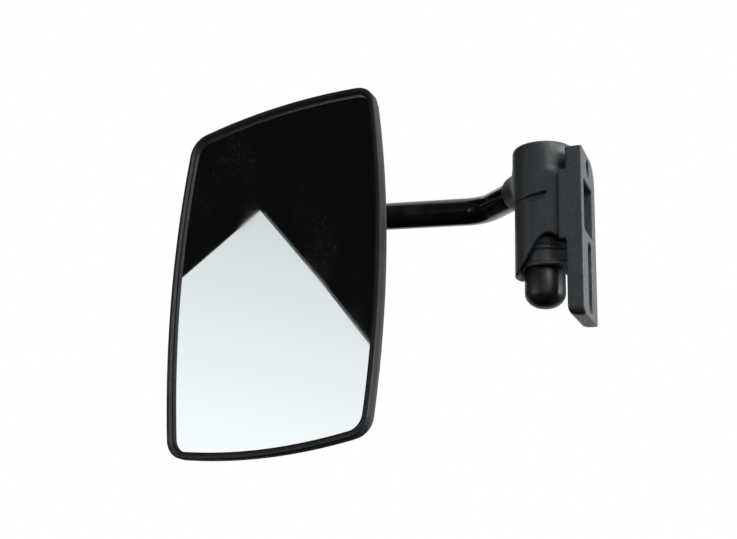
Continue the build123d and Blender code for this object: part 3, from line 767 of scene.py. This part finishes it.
# ================================================================================ head
def circle_through(a, b, c):
    """Centre and radius of the circle through three points."""
    rows = 2 * np.array([b - a, c - a])
    centre = np.linalg.solve(rows, np.array([b @ b - a @ a, c @ c - a @ a]))
    return centre, np.linalg.norm(a - centre)


def head_outline(side_points=60, corner_points=22):
    """The head's outline, anticlockwise, with outward normals: four crowned sides, four round corners.

    Each side is the arc through its two corners and its crown, and each corner is a circle that lies
    inside both its sides and touches them.
    """
    top_w = head_half_width - side_bulge + head_taper
    low_w = head_half_width - side_bulge - head_taper
    edge_h = head_half_height - end_bulge
    corners = np.array([(low_w, -edge_h), (top_w, edge_h), (-top_w, edge_h), (-low_w, -edge_h)])
    crowns = np.array(
        [(head_half_width, 0), (0, head_half_height), (-head_half_width, 0), (0, -head_half_height)]
    )
    sides = [circle_through(corners[i], crowns[i], corners[(i + 1) % 4]) for i in range(4)]
    rounds = []
    for i in range(4):
        (c1, r1), (c2, r2) = sides[i], sides[(i + 1) % 4]
        reach1, reach2 = r1 - head_corner, r2 - head_corner
        gap = c2 - c1
        span = np.linalg.norm(gap)
        along = (reach1**2 - reach2**2 + span**2) / (2 * span)
        off = math.sqrt(reach1**2 - along**2)
        square = np.array([-gap[1], gap[0]]) / span
        options = [c1 + gap / span * along + square * off * s for s in (-1, 1)]
        rounds.append(min(options, key=lambda p: np.linalg.norm(p - corners[(i + 1) % 4])))
    points, normals = [], []
    for i in range(4):
        centre, radius = sides[i]
        before, after = rounds[i - 1] - centre, rounds[i] - centre
        for middle, r, start, end, count in (
            (centre, radius, before, after, side_points),
            (rounds[i], head_corner, after, rounds[i] - sides[(i + 1) % 4][0], corner_points),
        ):
            first = math.atan2(start[1], start[0])
            sweep = (math.atan2(end[1], end[0]) - first + math.pi) % (2 * math.pi) - math.pi
            angle = first + sweep * np.arange(count) / count
            spoke = np.stack([np.cos(angle), np.sin(angle)], -1)
            points.append(middle + r * spoke)
            normals.append(spoke)
    return np.concatenate(points), np.concatenate(normals)


outline_points, outline_normals = head_outline()


def carried_round(profile):
    """Row-frame grid of an (inset, depth) profile carried round the head's outline."""
    inset, depth = profile[:, 0], profile[:, 1]
    flat = outline_points[:, None, :] - outline_normals[:, None, :] * inset[None, :, None]
    return from_head(flat[..., 0], flat[..., 1], np.broadcast_to(depth, flat.shape[:2]))


def rim_moulding():
    """The rim: round-shouldered front lip, slope to a groove, bead against the glass, and a grip behind."""
    section = rounded_profile(
        [
            (1.70 * mm, 8.50 * mm, 0.30 * mm),
            (0.00 * mm, 5.70 * mm, 0.60 * mm),
            (0.00 * mm, 0.00 * mm, 1.00 * mm),
            (2.40 * mm, 0.00 * mm, 0.45 * mm),
            (3.55 * mm, 1.45 * mm, 0.25 * mm),
            (3.65 * mm, 2.35 * mm, 0.15 * mm),
            (4.05 * mm, 2.35 * mm, 0.15 * mm),
            (4.15 * mm, 1.85 * mm, 0.20 * mm),
            (4.70 * mm, 1.95 * mm, 0.22 * mm),
            (4.70 * mm, 3.28 * mm, 0.12 * mm),
            (1.80 * mm, 3.28 * mm, 0.10 * mm),
            (1.80 * mm, 8.50 * mm, 0.10 * mm),
        ]
    )
    points = carried_round(section)
    faces = closed_grid_faces(len(outline_points), len(section))
    new_piece("rim_moulding", points, faces, "head", "rim_rubber", ["rim_gasket"])


rim_moulding()

# ================================================================================ camera and light
camera_place = Vector((0.0928, -0.5550, -0.1635))
camera_right = Vector((0.9269, 0.3741, 0.0301))
camera_up = Vector((0.0656, -0.2406, 0.9684))
camera_lens = 48.85


def make_camera():
    """A camera a little below the object and to its right, looking up at it."""
    camera = bpy.data.objects.new("camera", bpy.data.cameras.new("camera"))
    bpy.context.scene.collection.objects.link(camera)
    right = camera_right.normalized()
    back = right.cross(camera_up).normalized()
    up = back.cross(right)
    turn = Matrix((right, up, back)).transposed().to_4x4()
    camera.matrix_world = Matrix.Translation(camera_place) @ turn
    camera.data.lens = camera_lens
    camera.data.sensor_width = 36
    camera.data.clip_end = 50
    bpy.context.scene.camera = camera


make_camera()


def stage_sheet(name, corners, colour, brightness, unseen=False, gloss_only=False, fade=None):
    """A flat stage sheet through its corners, in order.

    An unseen sheet is hidden from the camera and casts no shadow, and a gloss-only one is seen by gloss
    alone. A sheet with a brightness glows in its colour, and one without is painted in it. A fade is two
    heights and the brightness at each.
    """
    mesh = bpy.data.meshes.new(name)
    mesh.from_pydata([tuple(c) for c in corners], [], [list(range(len(corners)))])
    sheet = bpy.data.objects.new(name, mesh)
    bpy.context.scene.collection.objects.link(sheet)
    paint = bpy.data.materials.new(name)
    paint.use_nodes = True
    shader = paint.node_tree.nodes["Principled BSDF"]
    shader.inputs["Base Color"].default_value = (0, 0, 0, 1) if brightness else (*colour, 1)
    shader.inputs["Roughness"].default_value = 1.0
    shader.inputs["Specular IOR Level"].default_value = 0.0
    shader.inputs["Emission Color"].default_value = (*colour, 1)
    shader.inputs["Emission Strength"].default_value = brightness
    if fade is not None:
        nodes, links = paint.node_tree.nodes, paint.node_tree.links
        height = nodes.new("ShaderNodeSeparateXYZ")
        ramp = nodes.new("ShaderNodeMapRange")
        links.new(nodes.new("ShaderNodeTexCoord").outputs["Object"], height.inputs[0])
        links.new(height.outputs["Z"], ramp.inputs["Value"])
        for key, number in zip(ramp_ends, fade):
            ramp.inputs[key].default_value = number
        links.new(ramp.outputs[0], shader.inputs["Emission Strength"])
    mesh.materials.append(paint)
    sheet.visible_camera = not (unseen or gloss_only)
    sheet.visible_shadow = not (unseen or gloss_only)
    sheet.visible_diffuse = not gloss_only
    sheet.visible_transmission = not gloss_only
    return sheet


floor_height = -0.30
floor_reach = 12.0
floor = stage_sheet(
    "floor",
    [(s * floor_reach, t * floor_reach, floor_height) for s, t in ((-1, -1), (1, -1), (1, 1), (-1, 1))],
    (1.0, 1.0, 1.0),
    1.0,
)
floor.visible_glossy = False
floor.visible_diffuse = False

# dark curtains that gloss and soft light see, and the camera doesn't: one low in front, one on the left
curtain_low = floor_height - 0.02
curtain_left = -1.6
curtain_front = -2.5
curtain_high = 2.2
curtain_sides = (-2.2, 1.0)
low_curtain_back = 0.5
left_curtain_back = 1.2
curtain_colour = (0.006, 0.0065, 0.007)
stage_sheet(
    "low_curtain",
    [
        (x, y, curtain_low)
        for x, y in (
            (curtain_sides[0], curtain_front),
            (curtain_sides[1], curtain_front),
            (curtain_sides[1], low_curtain_back),
            (curtain_sides[0], low_curtain_back),
        )
    ],
    curtain_colour,
    0.0,
    unseen=True,
)
stage_sheet(
    "left_curtain",
    [
        (curtain_left, y, z)
        for y, z in (
            (curtain_front, curtain_low),
            (left_curtain_back, curtain_low),
            (left_curtain_back, curtain_high),
            (curtain_front, curtain_high),
        )
    ],
    curtain_colour,
    0.0,
    unseen=True,
)

# cards that the glass and the gloss black see, set square to the middle reflected ray
to_camera = (camera_place - head_centre).normalized()
card_way = (2 * head_out.dot(to_camera) * head_out - to_camera).normalized()
card_right = card_way.cross(Vector((0, 0, 1))).normalized()
card_up = card_right.cross(card_way)
card_distance = 1.2
card_centre = head_centre + card_way * card_distance


def on_card(across, above, nearer=0.0):
    """A point on the plane of the cards, in metres across and above its middle."""
    return card_centre + card_right * across + card_up * above - card_way * nearer


dark_reach = 1.6
stage_sheet(
    "dark_card",
    [on_card(s * dark_reach, t * dark_reach) for s, t in ((-1, -1), (1, -1), (1, 1), (-1, 1))],
    (0.0037, 0.0037, 0.0037),
    1.0,
    unseen=True,
)


def lit_card(name, shift, nearer, colour, brightness, fade=None):
    """A card in front of the dark one: a blunt peak above a wide lower part, shifted across, for gloss."""
    peak = (0.041, 0.099)
    left_shoulder = (0.149, -0.044)
    left_foot = (0.420, -0.403)
    right_shoulder = (-0.086, 0.0)
    right_foot = (-0.480, -0.335)
    low = -0.95
    rim = [
        peak,
        left_shoulder,
        left_foot,
        (left_foot[0], low),
        (right_foot[0], low),
        right_foot,
        right_shoulder,
    ]
    corners = [on_card(across - shift, above, nearer) for across, above in rim]
    stage_sheet(name, corners, colour, brightness, gloss_only=True, fade=fade)


lit_card("bright_card", 0.0, 0.06, (0.93, 0.97, 0.985), 1.0, fade=(0.12, 0.57, 1.12, 0.74))
lit_card("bright_card_edge", 0.008, 0.05, (0.08, 0.09, 0.10), 1.0)


def area_light(name, place, aim, size, power):
    """A square soft white light, looking from its place at a point."""
    light = bpy.data.lights.new(name, "AREA")
    light.size = size
    light.energy = power
    holder = bpy.data.objects.new(name, light)
    bpy.context.scene.collection.objects.link(holder)
    holder.location = place
    holder.rotation_euler = (Vector(aim) - Vector(place)).to_track_quat("-Z", "Y").to_euler()


area_light("key", place=(0.9, -0.9, 1.1), aim=(-0.05, 0, 0), size=0.7, power=14)
area_light("fill", place=(-1.0, -0.9, -0.1), aim=(-0.05, 0, 0), size=0.9, power=5)
area_light("side", place=(1.3, -0.1, 0.1), aim=(0, 0, 0), size=0.6, power=26)

world = bpy.data.worlds.new("studio")
bpy.context.scene.world = world
world.use_nodes = True
world.node_tree.nodes["Background"].inputs["Color"].default_value = (1, 1, 1, 1)
world.node_tree.nodes["Background"].inputs["Strength"].default_value = 1.0
bpy.context.scene.view_settings.view_transform = "Standard"
